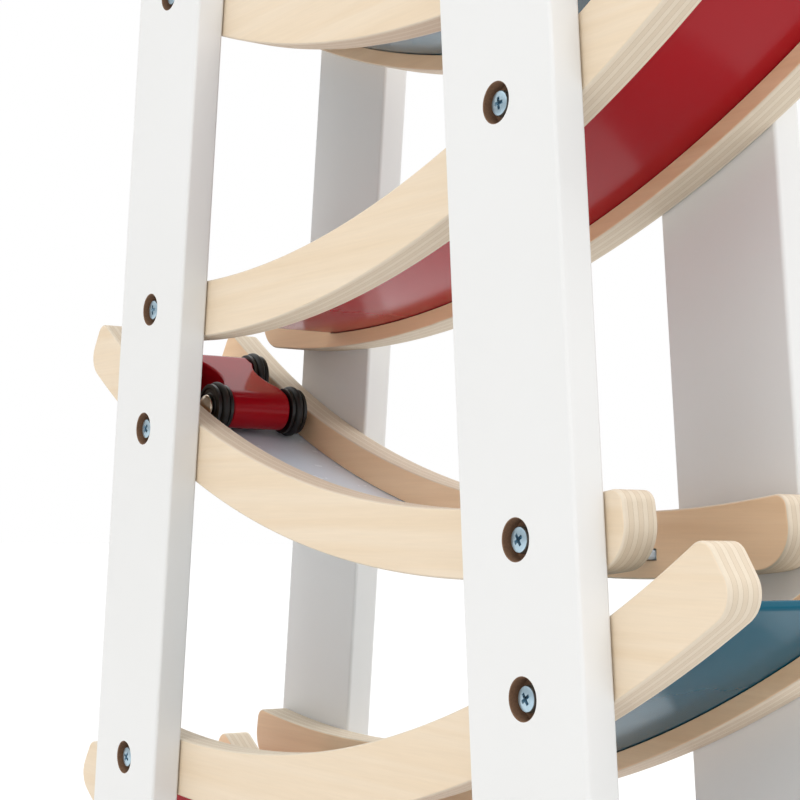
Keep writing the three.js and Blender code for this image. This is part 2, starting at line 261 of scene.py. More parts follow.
def birch_plywood(inner_y, thickness):
    """Birch plywood with a thin matt varnish. Its faces show pale veneer with fine long grain, with
    a warmer tone painted on the inner side for the warm light bounced between the rails and floors,
    and its sawn edges show the plies, light along the grain and a little darker across it."""
    material, tree, shader = new_material("birch_plywood")
    shader.inputs["IOR"].default_value = 1.5
    coordinates = add_node(tree, "ShaderNodeTexCoord")
    place = coordinates.outputs["Object"]
    split = add_node(tree, "ShaderNodeSeparateXYZ", inputs={0: place})
    across = add_node(tree, "ShaderNodeMath", {"operation": "ABSOLUTE"}, {
        0: split.outputs["Y"]})

    # The plies, counted from the rail's inner face.
    layer = add_node(tree, "ShaderNodeMapRange", {"clamp": False}, {
        "Value": across.outputs[0], 1: inner_y, 2: inner_y + thickness, 3: 0.0, 4: PLY_COUNT})
    waver = add_node(tree, "ShaderNodeTexNoise", inputs={
        "Vector": place, "Scale": 1 / (18 * MM), "Detail": 2.0})
    waver_size = add_node(tree, "ShaderNodeMapRange", inputs={
        "Value": waver.outputs["Fac"], 3: -0.12, 4: 0.12})
    plies = add_node(tree, "ShaderNodeMath", {"operation": "ADD"}, {
        0: layer.outputs[0], 1: waver_size.outputs[0]})
    half = add_node(tree, "ShaderNodeMath", {"operation": "MULTIPLY"}, {
        0: plies.outputs[0], 1: 0.5})
    turn = add_node(tree, "ShaderNodeMath", {"operation": "FRACT"}, {0: half.outputs[0]})
    crosswise = add_node(tree, "ShaderNodeMath", {"operation": "GREATER_THAN"}, {
        0: turn.outputs[0], 1: 0.5})
    within = add_node(tree, "ShaderNodeMath", {"operation": "FRACT"}, {0: plies.outputs[0]})
    from_middle = add_node(tree, "ShaderNodeMath", {"operation": "SUBTRACT"}, {
        0: within.outputs[0], 1: 0.5})
    to_line = add_node(tree, "ShaderNodeMath", {"operation": "ABSOLUTE"}, {
        0: from_middle.outputs[0]})
    glue = add_node(tree, "ShaderNodeMapRange", {"interpolation_type": "SMOOTHSTEP"}, {
        "Value": to_line.outputs[0], 1: 0.45, 2: 0.5, 3: 0.0, 4: 1.0})

    # Long grain on the faces and in the light plies, short pores in the cross plies.
    long_way = add_node(tree, "ShaderNodeMapping", inputs={
        "Vector": place, "Scale": (0.035, 1, 1)})
    fibres = add_node(tree, "ShaderNodeTexNoise", inputs={
        "Vector": long_way.outputs[0], "Scale": 1 / (0.9 * MM), "Detail": 5.0, "Roughness": 0.65})
    figure = add_node(tree, "ShaderNodeTexNoise", inputs={
        "Vector": long_way.outputs[0], "Scale": 1 / (7 * MM), "Detail": 2.0, "Distortion": 0.6})
    pores = add_node(tree, "ShaderNodeTexNoise", inputs={
        "Vector": place, "Scale": 1 / (0.55 * MM), "Detail": 3.0, "Roughness": 0.7})
    veneer = add_node(tree, "ShaderNodeValToRGB", inputs={0: figure.outputs["Fac"]})
    veneer.color_ramp.elements[0].position = 0.3
    veneer.color_ramp.elements[0].color = linear("#DDC8AB")
    veneer.color_ramp.elements[1].position = 0.68
    veneer.color_ramp.elements[1].color = linear("#E2D1B9")
    # Painted bounce light: the inner faces get a warmer, more saturated veneer tone that stands in
    # for warm light bounced between the rails and the coloured floors.
    painted_bounce_veneer = add_node(tree, "ShaderNodeMix", {"data_type": "RGBA"}, {
        0: figure.outputs["Fac"], 6: linear("#DDB48A"), 7: linear("#F6D8B4")})
    painted_bounce_mask = add_node(tree, "ShaderNodeMapRange", inputs={
        "Value": layer.outputs[0], 1: 0.5, 2: 1.5, 3: 1.0, 4: 0.0})
    veneer_and_painted_bounce = add_node(tree, "ShaderNodeMix", {"data_type": "RGBA"}, {
        0: painted_bounce_mask.outputs[0], 6: veneer.outputs[0], 7: painted_bounce_veneer.outputs[2]})
    streaks = add_node(tree, "ShaderNodeMapRange", inputs={
        "Value": fibres.outputs["Fac"], 1: 0.35, 2: 0.7, 3: 0.965, 4: 1.015})
    face = add_node(tree, "ShaderNodeMix", {"data_type": "RGBA", "blend_type": "MULTIPLY"}, {
        0: 1.0, 6: veneer_and_painted_bounce.outputs[2], 7: streaks.outputs[0]})
    light_ply = add_node(tree, "ShaderNodeMix", {"data_type": "RGBA"}, {
        0: fibres.outputs["Fac"], 6: linear("#DACDBA"), 7: linear("#D2C4AF")})
    dark_ply = add_node(tree, "ShaderNodeMix", {"data_type": "RGBA"}, {
        0: pores.outputs["Fac"], 6: linear("#D4C5B0"), 7: linear("#CBBBA4")})
    ply = add_node(tree, "ShaderNodeMix", {"data_type": "RGBA"}, {
        0: crosswise.outputs[0], 6: light_ply.outputs[2], 7: dark_ply.outputs[2]})
    edge = add_node(tree, "ShaderNodeMix", {"data_type": "RGBA"}, {
        0: glue.outputs[0], 6: ply.outputs[2], 7: linear("#AE9A7D")})

    # A face is where the surface looks along Y.
    normal = add_node(tree, "ShaderNodeSeparateXYZ", inputs={0: coordinates.outputs["Normal"]})
    looks_y = add_node(tree, "ShaderNodeMath", {"operation": "ABSOLUTE"}, {
        0: normal.outputs["Y"]})
    is_face = add_node(tree, "ShaderNodeMapRange", {"interpolation_type": "SMOOTHSTEP"}, {
        "Value": looks_y.outputs[0], 1: 0.8, 2: 0.95, 3: 0.0, 4: 1.0})
    colour = add_node(tree, "ShaderNodeMix", {"data_type": "RGBA"}, {
        0: is_face.outputs[0], 6: edge.outputs[2], 7: face.outputs[2]})
    tree.links.new(colour.outputs[2], shader.inputs["Base Color"])

    polish = add_node(tree, "ShaderNodeMapRange", inputs={
        "Value": is_face.outputs[0], 3: 0.72, 4: 0.48})
    tree.links.new(polish.outputs[0], shader.inputs["Roughness"])
    sunk = add_node(tree, "ShaderNodeMath", {"operation": "MULTIPLY_ADD"}, {
        0: glue.outputs[0], 1: -0.8, 2: pores.outputs["Fac"]})
    relief = add_node(tree, "ShaderNodeMix", {"data_type": "FLOAT"}, {
        0: is_face.outputs[0], 2: sunk.outputs[0], 3: fibres.outputs["Fac"]})
    bump = add_node(tree, "ShaderNodeBump", inputs={
        "Strength": 0.5, "Distance": 0.08 * MM, "Height": relief.outputs[0]})
    tree.links.new(bump.outputs[0], shader.inputs["Normal"])
    return material


def bored_wood():
    """Bare wood in a drilled hole: brown, fibrous and dry, with rings left by the drill."""
    material, tree, shader = new_material("bored_beech")
    shader.inputs["Roughness"].default_value = 0.85
    place = add_node(tree, "ShaderNodeTexCoord").outputs["Object"]
    rings = add_node(tree, "ShaderNodeMapping", inputs={"Vector": place, "Scale": (0.15, 1, 1)})
    fibres = add_node(tree, "ShaderNodeTexNoise", inputs={
        "Vector": rings.outputs[0], "Scale": 1 / (0.5 * MM), "Detail": 4.0})
    tone = add_node(tree, "ShaderNodeMix", {"data_type": "RGBA"}, {
        0: fibres.outputs["Fac"], 6: linear("#8E6C50"), 7: linear("#604636")})
    tree.links.new(tone.outputs[2], shader.inputs["Base Color"])
    bump = add_node(tree, "ShaderNodeBump", inputs={
        "Strength": 0.6, "Distance": 0.1 * MM, "Height": fibres.outputs["Fac"]})
    tree.links.new(bump.outputs[0], shader.inputs["Normal"])
    return material


def metal(name, colour, shade, roughness, grit):
    """Bright metal with fine random scratches and a slightly uneven skin."""
    material, tree, shader = new_material(name)
    shader.inputs["Metallic"].default_value = 1.0
    place = add_node(tree, "ShaderNodeTexCoord").outputs["Object"]
    cloud = add_node(tree, "ShaderNodeTexNoise", inputs={
        "Vector": place, "Scale": 1 / (1.5 * MM), "Detail": 3.0})
    tone = add_node(tree, "ShaderNodeMix", {"data_type": "RGBA"}, {
        0: cloud.outputs["Fac"], 6: linear(colour), 7: linear(shade)})
    tree.links.new(tone.outputs[2], shader.inputs["Base Color"])
    polish = add_node(tree, "ShaderNodeMapRange", inputs={
        "Value": cloud.outputs["Fac"], 3: roughness * 0.8, 4: roughness * 1.3})
    tree.links.new(polish.outputs[0], shader.inputs["Roughness"])
    fine = add_node(tree, "ShaderNodeTexNoise", inputs={
        "Vector": place, "Scale": 1 / grit, "Detail": 2.0})
    bump = add_node(tree, "ShaderNodeBump", inputs={
        "Strength": 0.2, "Distance": 0.02 * MM, "Height": fine.outputs["Fac"]})
    tree.links.new(bump.outputs[0], shader.inputs["Normal"])
    return material


def black_moulding(name, colour, dusty, roughness, grain):
    """Black rubber or plastic: dull, with a fine moulded grain and a little pale dust."""
    material, tree, shader = new_material(name)
    shader.inputs["IOR"].default_value = 1.5
    place = add_node(tree, "ShaderNodeTexCoord").outputs["Object"]
    cloud = add_node(tree, "ShaderNodeTexNoise", inputs={
        "Vector": place, "Scale": 1 / (3 * MM), "Detail": 5.0, "Roughness": 0.7})
    dust = add_node(tree, "ShaderNodeMapRange", inputs={
        "Value": cloud.outputs["Fac"], 1: 0.5, 2: 0.8, 3: 0.0, 4: 1.0})
    tone = add_node(tree, "ShaderNodeMix", {"data_type": "RGBA"}, {
        0: dust.outputs[0], 6: linear(colour), 7: linear(dusty)})
    tree.links.new(tone.outputs[2], shader.inputs["Base Color"])
    polish = add_node(tree, "ShaderNodeMapRange", inputs={
        "Value": cloud.outputs["Fac"], 3: roughness * 0.85, 4: roughness * 1.15})
    tree.links.new(polish.outputs[0], shader.inputs["Roughness"])
    fine = add_node(tree, "ShaderNodeTexNoise", inputs={
        "Vector": place, "Scale": 1 / grain, "Detail": 2.0})
    bump = add_node(tree, "ShaderNodeBump", inputs={
        "Strength": 0.3, "Distance": 0.03 * MM, "Height": fine.outputs["Fac"]})
    tree.links.new(bump.outputs[0], shader.inputs["Normal"])
    return material


# ---- boards ---------------------------------------------------------------------------------

ARRIS_STEPS = 4
ROUNDING_STEPS = 4
CURVE_STEP = 4 * MM          # between the points along a curve
LEAST_RADIUS = 1e-5          # of a corner that is left square


def blank(name, edges, depth, arris, middle_y=0.0):
    """A board with every edge rounded by arris. edges(inset) gives its two long edges in X and Z,
    point by point, and depth its half thickness at each point or everywhere."""
    layers = []
    for side in (-1, 1):
        turns = [math.pi / 2 * step / ARRIS_STEPS for step in range(ARRIS_STEPS + 1)]
        layers += [(side, turn) for turn in (turns[::-1] if side < 0 else turns)]
    points = []
    for side, turn in layers:
        upper, lower = edges(arris * (1 - math.cos(turn)))
        ring = np.vstack([upper, lower[::-1]])
        thick = np.broadcast_to(depth, len(upper))
        reach = np.concatenate([thick, thick[::-1]]) - arris + arris * math.sin(turn)
        points.append(np.column_stack([ring[:, 0], middle_y + side * reach, ring[:, 1]]))
    size = len(points[0])
    faces = []
    for layer in range(len(layers) - 1):
        base = layer * size
        for i in range(size):
            j = (i + 1) % size
            faces.append((base + i, base + j, base + size + j, base + size + i))
    for base in (0, (len(layers) - 1) * size):
        for i in range(size // 2 - 1):
            faces.append((base + i, base + i + 1, base + size - 2 - i, base + size - 1 - i))
    return merged(mesh_of(name, np.vstack(points), faces))


def corner_drop(distance, radius):
    """How far a round corner has cut in, at a distance from the end."""
    short = np.clip(radius - distance, 0, radius)
    return radius - np.sqrt(radius**2 - short**2)


def strip_edges(start, end, top, bottom, corners):
    """The two long edges of a flat strip with round corners. X runs along it, and Z is up."""
    entry_top, entry_bottom, exit_bottom, exit_top = corners
    reach = max(max(corners), 1 * MM)
    arc = reach * (1 - np.cos(np.linspace(0, math.pi / 2, 13)))
    between = np.linspace(start + reach, end - reach, int((end - start) / CURVE_STEP))[1:-1]
    along = np.concatenate([start + arc, between, end - arc[::-1]])

    def edges(inset):
        share = (along - start) / (end - start)
        x = start + inset + share * (end - start - 2 * inset)
        from_start, from_end = x - start - inset, end - inset - x
        upper = -(top + inset) \
            - corner_drop(from_start, max(entry_top - inset, LEAST_RADIUS)) \
            - corner_drop(from_end, max(exit_top - inset, LEAST_RADIUS))
        lower = -(bottom - inset) \
            + corner_drop(from_start, max(entry_bottom - inset, LEAST_RADIUS)) \
            + corner_drop(from_end, max(exit_bottom - inset, LEAST_RADIUS))
        return np.column_stack([x, upper]), np.column_stack([x, lower])

    return edges


def turned(name, profile, segments):
    """A solid turned about Y. The profile's points are (radius, y)."""
    angles = [2 * math.pi * i / segments for i in range(segments)]
    points = [(r * math.cos(a), y, r * math.sin(a)) for r, y in profile for a in angles]
    faces = []
    for row in range(len(profile) - 1):
        for i in range(segments):
            j = (i + 1) % segments
            base, above = row * segments, (row + 1) * segments
            faces.append((base + i, base + j, above + j, above + i))
    return merged(mesh_of(name, points, faces))


def rounded(profile, radius):
    """The profile with its inner points rounded off, in (radius, y)."""
    points = [Vector(p) for p in profile]
    result = [points[0]]
    for before, here, after in zip(points, points[1:], points[2:]):
        to_before, to_after = (before - here), (after - here)
        cut = min(radius, 0.45 * to_before.length, 0.45 * to_after.length)
        a = here + to_before.normalized() * cut
        b = here + to_after.normalized() * cut
        for step in range(ROUNDING_STEPS + 1):
            t = step / ROUNDING_STEPS
            result.append((1 - t) ** 2 * a + 2 * t * (1 - t) * here + t**2 * b)
    result.append(points[-1])
    return [(p.x, p.y) for p in result]


def drill(piece, drills):
    """Cuts round-section tools, each a mesh and its place, out of a piece."""
    tool = bmesh.new()
    for mesh, place in drills:
        copy = mesh.copy()
        copy.transform(place)
        copy.polygons.foreach_set("material_index", [0] * len(copy.polygons))
        tool.from_mesh(copy)
        bpy.data.meshes.remove(copy)
    tool_mesh = bpy.data.meshes.new("drills")
    tool.to_mesh(tool_mesh)
    tool.free()
    tool_mesh.materials.append(drills[0][0].materials[0])
    cutter = new_piece("drills", tool_mesh)
    cut = piece.modifiers.new("drills", "BOOLEAN")
    cut.operation = "DIFFERENCE"
    cut.solver = "EXACT"
    cut.material_mode = "TRANSFER"
    cut.object = cutter
    settle(piece)
    bpy.data.objects.remove(cutter)
    bpy.data.meshes.remove(tool_mesh)


# ---- node trees for the ramps and the screws ---------------------------------------------------


def new_tree(name, sockets):
    """A geometry tree with its named inputs, and its two ends."""
    tree = bpy.data.node_groups.new(name, "GeometryNodeTree")
    tree.interface.new_socket("Geometry", in_out="INPUT", socket_type="NodeSocketGeometry")
    for label, kind in sockets:
        tree.interface.new_socket(label, in_out="INPUT", socket_type=kind)
    tree.interface.new_socket("Geometry", in_out="OUTPUT", socket_type="NodeSocketGeometry")
    start = add_node(tree, "NodeGroupInput")
    end = add_node(tree, "NodeGroupOutput")
    return tree, start.outputs, end.inputs


def use_tree(piece, tree, values):
    """Puts the tree on the piece, with its inputs set by their identifiers."""
    modifier = piece.modifiers.new(tree.name, "NODES")
    modifier.node_group = tree
    for item in tree.interface.items_tree:
        if item.in_out == "INPUT" and item.name in values:
            modifier[item.identifier] = values[item.name]


def finished_tree(tree, geometry, given, out):
    """Ends a tree with real geometry, not instances, in its finish."""
    whole = add_node(tree, "GeometryNodeRealizeInstances", inputs={0: geometry})
    finished = add_node(tree, "GeometryNodeSetMaterial", inputs={
        "Geometry": whole.outputs[0], "Material": given["Finish"]})
    tree.links.new(finished.outputs[0], out["Geometry"])
    return tree


CURVE_SOCKETS = [
    ("Edge radius", "NodeSocketFloat"),
    ("Centre X", "NodeSocketFloat"),
    ("Centre Z", "NodeSocketFloat"),
    ("Exit side", "NodeSocketFloat"),
]


def bending_tree():
    """Lays a flat strip on a ramp's curve: X becomes the way along it, and Z stays up from it."""
    tree, given, out = new_tree("lay_on_curve", CURVE_SOCKETS)
    flat = add_node(tree, "ShaderNodeSeparateXYZ", inputs={
        0: add_node(tree, "GeometryNodeInputPosition").outputs[0]})
    turn = add_node(tree, "ShaderNodeMath", {"operation": "DIVIDE"}, {
        0: flat.outputs["X"], 1: given["Edge radius"]})
    radius = add_node(tree, "ShaderNodeMath", {"operation": "SUBTRACT"}, {
        0: given["Edge radius"], 1: flat.outputs["Z"]})
    sine = add_node(tree, "ShaderNodeMath", {"operation": "SINE"}, {0: turn.outputs[0]})
    cosine = add_node(tree, "ShaderNodeMath", {"operation": "COSINE"}, {0: turn.outputs[0]})
    sideways = add_node(tree, "ShaderNodeMath", {"operation": "MULTIPLY"}, {
        0: radius.outputs[0], 1: sine.outputs[0]})
    x = add_node(tree, "ShaderNodeMath", {"operation": "MULTIPLY_ADD"}, {
        0: sideways.outputs[0], 1: given["Exit side"], 2: given["Centre X"]})
    drop = add_node(tree, "ShaderNodeMath", {"operation": "MULTIPLY"}, {
        0: radius.outputs[0], 1: cosine.outputs[0]})
    z = add_node(tree, "ShaderNodeMath", {"operation": "SUBTRACT"}, {
        0: given["Centre Z"], 1: drop.outputs[0]})
    place = add_node(tree, "ShaderNodeCombineXYZ", inputs={
        "X": x.outputs[0], "Y": flat.outputs["Y"], "Z": z.outputs[0]})
    bent = add_node(tree, "GeometryNodeSetPosition", inputs={
        "Geometry": given["Geometry"], "Position": place.outputs[0]})
    backwards = add_node(tree, "FunctionNodeCompare", {
        "data_type": "FLOAT", "operation": "LESS_THAN"}, {0: given["Exit side"], 1: 0.0})
    facing = add_node(tree, "GeometryNodeFlipFaces", inputs={
        "Mesh": bent.outputs[0], "Selection": backwards.outputs[0]})
    tree.links.new(facing.outputs[0], out["Geometry"])
    return tree


def sheet_tree(bending):
    """A floor: its flat sheet laid on the curve."""
    tree, given, out = new_tree("ramp_floor", CURVE_SOCKETS + [("Finish", "NodeSocketMaterial")])
    bent = add_node(tree, "GeometryNodeGroup", {"node_tree": bending}, {
        name: given[name] for name in ["Geometry"] + [label for label, _ in CURVE_SOCKETS]})
    return finished_tree(tree, bent.outputs[0], given, out)


def rail_tree(bending):
    """A rail: its flat blank, with the stopped groove and two screw holes cut, then laid on the
    curve."""
    tree, given, out = new_tree("ramp_rail", CURVE_SOCKETS + [
        ("Groove size", "NodeSocketVector"),
        ("Groove middle", "NodeSocketVector"),
        ("Groove steps", "NodeSocketInt"),
        ("Entry screw", "NodeSocketVector"),
        ("Exit screw", "NodeSocketVector"),
        ("Hole diameter", "NodeSocketFloat"),
        ("Hole depth", "NodeSocketFloat"),
        ("Finish", "NodeSocketMaterial"),
    ])
    groove = add_node(tree, "GeometryNodeMeshCube", inputs={
        "Size": given["Groove size"], "Vertices X": given["Groove steps"]})
    groove_there = add_node(tree, "GeometryNodeTransform", inputs={
        "Geometry": groove.outputs["Mesh"], "Translation": given["Groove middle"]})
    hole_radius = add_node(tree, "ShaderNodeMath", {"operation": "MULTIPLY"}, {
        0: given["Hole diameter"], 1: 0.5})
    hole = add_node(tree, "GeometryNodeMeshCylinder", inputs={
        "Vertices": 32, "Radius": hole_radius.outputs[0], "Depth": given["Hole depth"]})
    screws = add_node(tree, "GeometryNodeMeshLine", {"mode": "END_POINTS"}, {
        "Count": 2, "Start Location": given["Entry screw"], "Offset": given["Exit screw"]})
    holes = add_node(tree, "GeometryNodeInstanceOnPoints", inputs={
        "Points": screws.outputs[0], "Instance": hole.outputs["Mesh"],
        "Rotation": (math.pi / 2, 0, 0)})
    holes_real = add_node(tree, "GeometryNodeRealizeInstances", inputs={0: holes.outputs[0]})
    tools = add_node(tree, "GeometryNodeJoinGeometry", inputs={0: groove_there.outputs[0]})
    tree.links.new(holes_real.outputs[0], tools.inputs[0])
    cut = add_node(tree, "GeometryNodeMeshBoolean", {
        "operation": "DIFFERENCE", "solver": "EXACT"}, {
        "Mesh 1": given["Geometry"], "Mesh 2": tools.outputs[0]})
    bent = add_node(tree, "GeometryNodeGroup", {"node_tree": bending}, {
        "Geometry": cut.outputs["Mesh"],
        **{label: given[label] for label, _ in CURVE_SOCKETS}})
    return finished_tree(tree, bent.outputs[0], given, out)


def screws_tree():
    """One screw at every point, its head outwards, each driven home at its own turn."""
    tree, given, out = new_tree("screws", [
        ("Screw", "NodeSocketObject"),
        ("Seed", "NodeSocketInt"),
        ("Finish", "NodeSocketMaterial"),
    ])
    screw = add_node(tree, "GeometryNodeObjectInfo", inputs={"Object": given["Screw"]})
    place = add_node(tree, "ShaderNodeSeparateXYZ", inputs={
        0: add_node(tree, "GeometryNodeInputPosition").outputs[0]})
    in_front = add_node(tree, "FunctionNodeCompare", {
        "data_type": "FLOAT", "operation": "LESS_THAN"}, {0: place.outputs["Y"], 1: 0.0})
    about_face = add_node(tree, "ShaderNodeMath", {"operation": "MULTIPLY"}, {
        0: in_front.outputs[0], 1: math.pi})
    spin = add_node(tree, "FunctionNodeRandomValue", {"data_type": "FLOAT"}, {
        2: 0.0, 3: 2 * math.pi, "Seed": given["Seed"]})
    turn = add_node(tree, "ShaderNodeCombineXYZ", inputs={
        "X": about_face.outputs[0], "Y": spin.outputs[1]})
    placed = add_node(tree, "GeometryNodeInstanceOnPoints", inputs={
        "Points": given["Geometry"], "Instance": screw.outputs["Geometry"],
        "Rotation": turn.outputs[0]})
    return finished_tree(tree, placed.outputs[0], given, out)


# ---- ramps ----------------------------------------------------------------------------------

CURVE_CENTRE = Vector(JOINTS["car_roll"]["pos_m"])      # the third ramp's
CAR_RAMP = 3
RAMPS = sorted({int(name.split("_")[1]) for name in frame["nodes"] if name.startswith("ramp_")})


def exit_side(number):
    return 1 if number % 2 else -1


def ramp_centre(number):
    """Each ramp is the third one, moved up or down, and turned round if its number is even."""
    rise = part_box(f"ramp_{number}_rail_front")[0].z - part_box(f"ramp_{CAR_RAMP}_rail_front")[0].z
    return Vector((exit_side(number) * abs(CURVE_CENTRE.x), 0, CURVE_CENTRE.z + rise))


RAMP_CENTRES = {number: ramp_centre(number) for number in RAMPS}


def on_curve(point, number):
    """A point's turn from the ramp's lowest place, towards its exit, and its distance from the
    ramp's centre."""
    offset = point - RAMP_CENTRES[number]
    return math.atan2(exit_side(number) * offset.x, -offset.z), math.hypot(offset.x, offset.z)


def span(node, number):
    """The least and greatest turn and distance of a node's corners, round the ramp's centre."""
    corners = [on_curve(v.co, number) for v in frame["nodes"][node].data.vertices]
    turns, distances = zip(*corners)
    return min(turns), max(turns), min(distances), max(distances)


def screw_centre(number, face, side):
    low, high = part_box(f"ramp_{number}_screw_{face}_{side}")
    return (low + high) / 2


def curve_inputs(number, radius):
    """What lays a strip on a ramp's curve."""
    centre = RAMP_CENTRES[number]
    return {"Edge radius": radius, "Centre X": centre.x, "Centre Z": centre.z,
            "Exit side": float(exit_side(number))}


def add_rails(number, tree, finish):
    entry, leave, radius, outer = span(f"ramp_{number}_rail_front", number)
    floor_entry, floor_leave, floor_top, floor_bottom = span(f"ramp_{number}_floor", number)
    height = outer - radius
    groove_from, groove_to = floor_entry * radius - 2 * FIT, floor_leave * radius + 2 * FIT
    groove_depth = FLOOR_TONGUE + FIT
    groove_drop = (floor_top + floor_bottom) / 2 - radius
    sides = ("left", "right") if exit_side(number) > 0 else ("right", "left")
    for face, sign in (("front", -1), ("back", 1)):
        low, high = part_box(f"ramp_{number}_rail_{face}")
        thickness = high.y - low.y
        middle = (low.y + high.y) / 2
        inner = sign * min(abs(low.y), abs(high.y))
        outer_face = sign * max(abs(low.y), abs(high.y))
        edges = strip_edges(entry * radius, leave * radius, 0, height, RAIL_CORNERS)
        rail = new_piece(f"plywood_rail_{number}_{face}",
                         blank("rail_blank", edges, thickness / 2, RAIL_ARRIS, middle))
        screws = []
        for side in sides:
            turn, distance = on_curve(screw_centre(number, face, side), number)
            screws.append((turn * radius, outer_face, radius - distance))
        use_tree(rail, tree, {
            **curve_inputs(number, radius),
            "Groove size": (groove_to - groove_from, 2 * groove_depth,
                            floor_bottom - floor_top + 2 * FIT),
            "Groove middle": ((groove_from + groove_to) / 2, inner, -groove_drop),
            "Groove steps": int((groove_to - groove_from) / CURVE_STEP),
            "Entry screw": screws[0], "Exit screw": screws[1],
            "Hole diameter": HOLE_DIAMETER, "Hole depth": 2 * PILOT_DEPTH,
            "Finish": finish})
        settle(rail)
        level_flats(rail)
        attach(rail, "tower", "birch_plywood", f"ramp_{number}_rail_{face}")


def add_floor(number, tree, finish, slot):
    radius = span(f"ramp_{number}_rail_front", number)[2]
    entry, leave, top, bottom = span(f"ramp_{number}_floor", number)
    low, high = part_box(f"ramp_{number}_floor")
    edges = strip_edges(entry * radius, leave * radius, top - radius, bottom - radius,
                        [FLOOR_ARRIS * 2] * 4)
    floor = new_piece(f"lacquered_floor_{number}",
                      blank("floor_blank", edges, (high.y - low.y) / 2, FLOOR_ARRIS))
    use_tree(floor, tree, {**curve_inputs(number, radius), "Finish": finish})
    settle(floor)
    level_flats(floor)
    attach(floor, "tower", slot, f"ramp_{number}_floor")


# ---- screws ---------------------------------------------------------------------------------

THREAD_PITCH = 1.8 * MM
THREAD_CORE = 0.72           # of the shank's radius
THREAD_START = 3.2 * MM      # from the tip
THREAD_END = 3.5 * MM        # below the head
TIP_LENGTH = 2.5 * MM
NECK = 0.9                   # of the shank's radius, where it is plain below the head
NECK_LENGTH = 2.5 * MM
HEAD_ARRIS = 0.15 * MM
HEAD_SIDE = 0.35             # of the head's height, upright below its dome
HEAD_DOME = 0.58             # of the head's height
HEAD_FLAT = 0.88             # of the head's radius, where the dome ends
HEAD_TOP = 0.3               # of the head's radius
DOME_STEPS = 6
RECESS_LENGTH = 4.8 * MM
RECESS_WIDTH = 1.3 * MM
RECESS_DEPTH = 1.7 * MM


def screw_mesh(length):
    """A pan-head wood screw with a cross recess. Its head is at +Y, and seats at Y = 0."""
    head = HEAD_DIAMETER / 2
    shank = SHANK_DIAMETER / 2
    core = THREAD_CORE * shank
    profile = [(0, -length), (core, TIP_LENGTH - length)]
    y = THREAD_START - length
    while y < -THREAD_END:
        profile += [(core, y - 0.35 * THREAD_PITCH), (shank, y), (core, y + 0.25 * THREAD_PITCH)]
        y += THREAD_PITCH
    profile += [(NECK * shank, -NECK_LENGTH), (NECK * shank, 0), (head - HEAD_ARRIS, 0)]
    dome = [(head, HEAD_ARRIS), (head, HEAD_SIDE * HEAD_HEIGHT)]
    for step in range(1, DOME_STEPS + 1):
        turn = math.pi / 2 * step / DOME_STEPS
        dome.append((HEAD_FLAT * head + (1 - HEAD_FLAT) * head * math.cos(turn),
                     HEAD_SIDE * HEAD_HEIGHT + HEAD_DOME * HEAD_HEIGHT * math.sin(turn)))
    profile += dome + [(HEAD_TOP * head, HEAD_HEIGHT), (0, HEAD_HEIGHT)]
    screw = new_piece("screw_pattern", turned("screw", profile, segments=48))
    arms = bmesh.new()
    for turn in (0, math.pi / 2):
        arm = bmesh.ops.create_cube(arms, size=1)["verts"]
        bmesh.ops.scale(arms, vec=(RECESS_LENGTH, 2 * RECESS_DEPTH, RECESS_WIDTH), verts=arm)
        for vert in arm:
            if vert.co.y < 0:
                vert.co.x *= 0.5
                vert.co.z *= 0.6
        bmesh.ops.rotate(arms, matrix=Matrix.Rotation(turn, 3, "Y"), verts=arm)
        bmesh.ops.translate(arms, vec=(0, HEAD_HEIGHT, 0), verts=arm)
    bmesh.ops.recalc_face_normals(arms, faces=arms.faces)
    tool = new_piece("recess", bpy.data.meshes.new("recess"))
    arms.to_mesh(tool.data)
    arms.free()
    cut = screw.modifiers.new("recess", "BOOLEAN")
    cut.operation, cut.solver, cut.use_self, cut.object = "DIFFERENCE", "EXACT", True, tool
    settle(screw, crease=math.radians(30))
    bpy.data.objects.remove(tool)
    return screw


def add_screws(tree, finish):
    names = [name for name in frame["nodes"] if "_screw_" in name]
    length, seats = 0, []
    for name in names:
        low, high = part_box(name)
        sign = -1 if low.y < 0 else 1
        top = sign * max(abs(low.y), abs(high.y))
        seats.append(((low.x + high.x) / 2, top - sign * HEAD_HEIGHT, (low.z + high.z) / 2))
        length = high.y - low.y - HEAD_HEIGHT
    pattern = screw_mesh(length)
    screws = new_piece("wood_screws", mesh_of("wood_screws", seats, []))
    use_tree(screws, tree, {"Screw": pattern, "Seed": 7, "Finish": finish})
    settle(screws, crease=math.radians(30))
    bpy.data.objects.remove(pattern)
    attach(screws, "tower", "zinc", *names)


# ---- legs and bars --------------------------------------------------------------------------

DRILL_PAST = 1 * MM          # how far a tool reaches past the surface that it cuts
MOUTH_CHAMFER = 0.2 * MM     # round a counterbore's mouth


def leg_edges(low, high, side):
    """A leaning board's two edges, from the ground up, with corners rounded by its arris."""
    foot = (high.x if side > 0 else low.x) - side * LEG_WIDTH / 2
    head = (low.x if side > 0 else high.x) + side * LEG_WIDTH / 2
    ends = np.array([0, 0.002, 0.01, 0.03])     # shares of the height, closer near the ends
    share = np.concatenate([ends, np.linspace(0, 1, 30)[2:-2], 1 - ends[::-1]])

    def edges(inset):
        z = low.z + inset + share * (high.z - low.z - 2 * inset)
        x = foot + (head - foot) * (z - low.z) / (high.z - low.z)
        half = LEG_WIDTH / 2 - inset
        return np.column_stack([x - half, z]), np.column_stack([x + half, z])

    return edges


